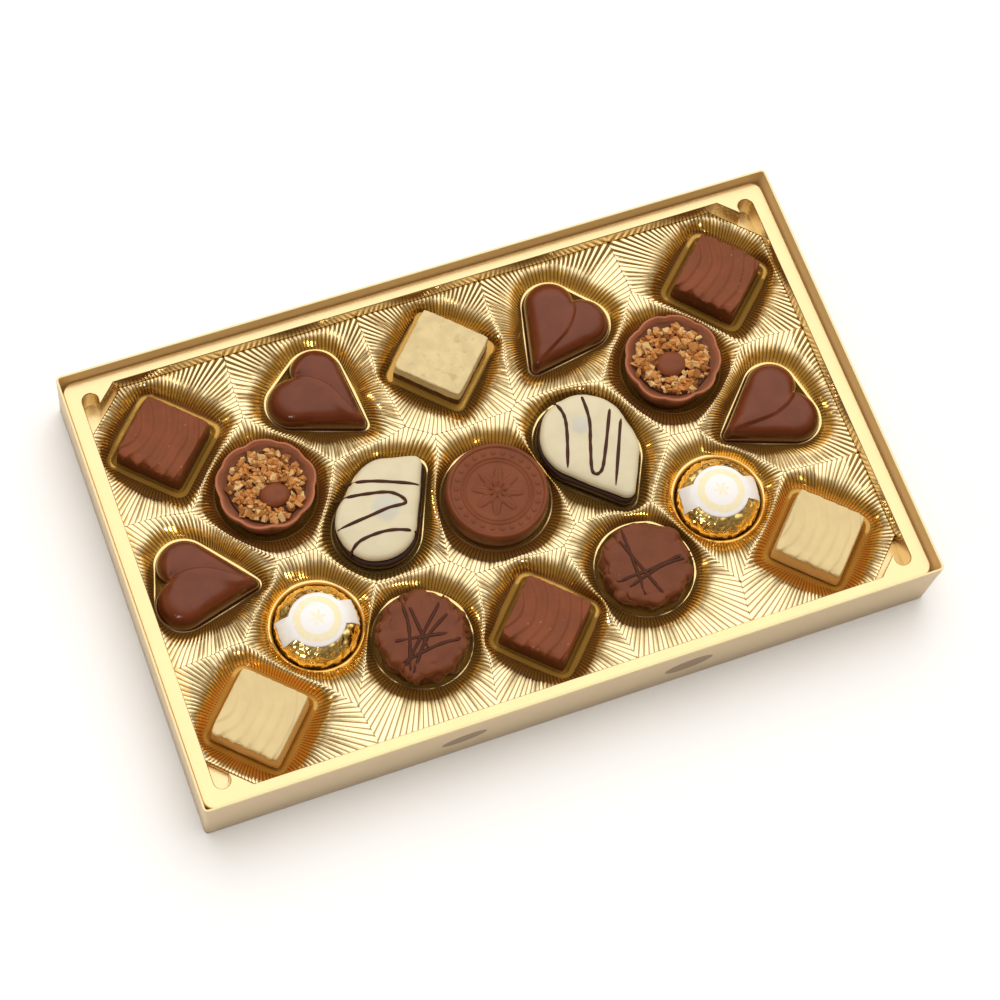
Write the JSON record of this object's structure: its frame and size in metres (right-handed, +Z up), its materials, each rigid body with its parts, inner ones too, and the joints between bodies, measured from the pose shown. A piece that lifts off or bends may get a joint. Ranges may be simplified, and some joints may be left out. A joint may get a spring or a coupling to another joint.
{
  "type": "box of chocolate pralines",
  "caption": "Shallow gold card tray with a thin ribbed gold insert whose cups hold assorted pralines: squares, hearts, nut cups, iced cookies, rough rounds, a coin and foil balls.",
  "frame": {"origin": "middle of the carton's underside", "axes": "+X along the carton's long side, +Y to its far long side, +Z up"},
  "size_m": [0.25, 0.1544, 0.023],
  "materials": {
    "card": "satin pale gold outside, brown gold inside",
    "gold_film": "metallic gold formed sheet with fine ribs",
    "milk_chocolate": "satin milk chocolate",
    "ivory_chocolate": "satin white chocolate",
    "dark_chocolate": "satin dark chocolate",
    "nuts": "roasted chopped nuts",
    "white_icing": "satin white coating with dark threads",
    "gold_foil": "crinkled gold foil",
    "label_paper": "white paper with a plain gold ring"
  },
  "bodies": {
    "root": {"carton": "card", "insert": "gold_film", "milk_square_1": "milk_chocolate", "milk_square_2": "milk_chocolate", "milk_square_3": "milk_chocolate", "ivory_square_1": "ivory_chocolate", "ivory_square_2": "ivory_chocolate", "layered_bottom": "dark_chocolate", "layered_top": "ivory_chocolate", "heart_1": "milk_chocolate", "heart_2": "milk_chocolate", "heart_3": "milk_chocolate", "heart_4": "milk_chocolate", "nut_cup_1": "milk_chocolate", "nut_cup_2": "milk_chocolate", "nut_filling_1": "nuts", "nut_filling_2": "nuts", "cup_bead_1": "milk_chocolate", "cup_bead_2": "milk_chocolate", "cookie_base_1": "dark_chocolate", "cookie_base_2": "dark_chocolate", "cookie_icing_1": "white_icing", "cookie_icing_2": "white_icing", "rough_round_1": "milk_chocolate", "rough_round_2": "milk_chocolate", "medallion": "milk_chocolate", "foil_ball_1": "gold_foil", "foil_ball_2": "gold_foil", "foil_label_1": "label_paper", "foil_label_2": "label_paper"}
  },
  "joints": []
}
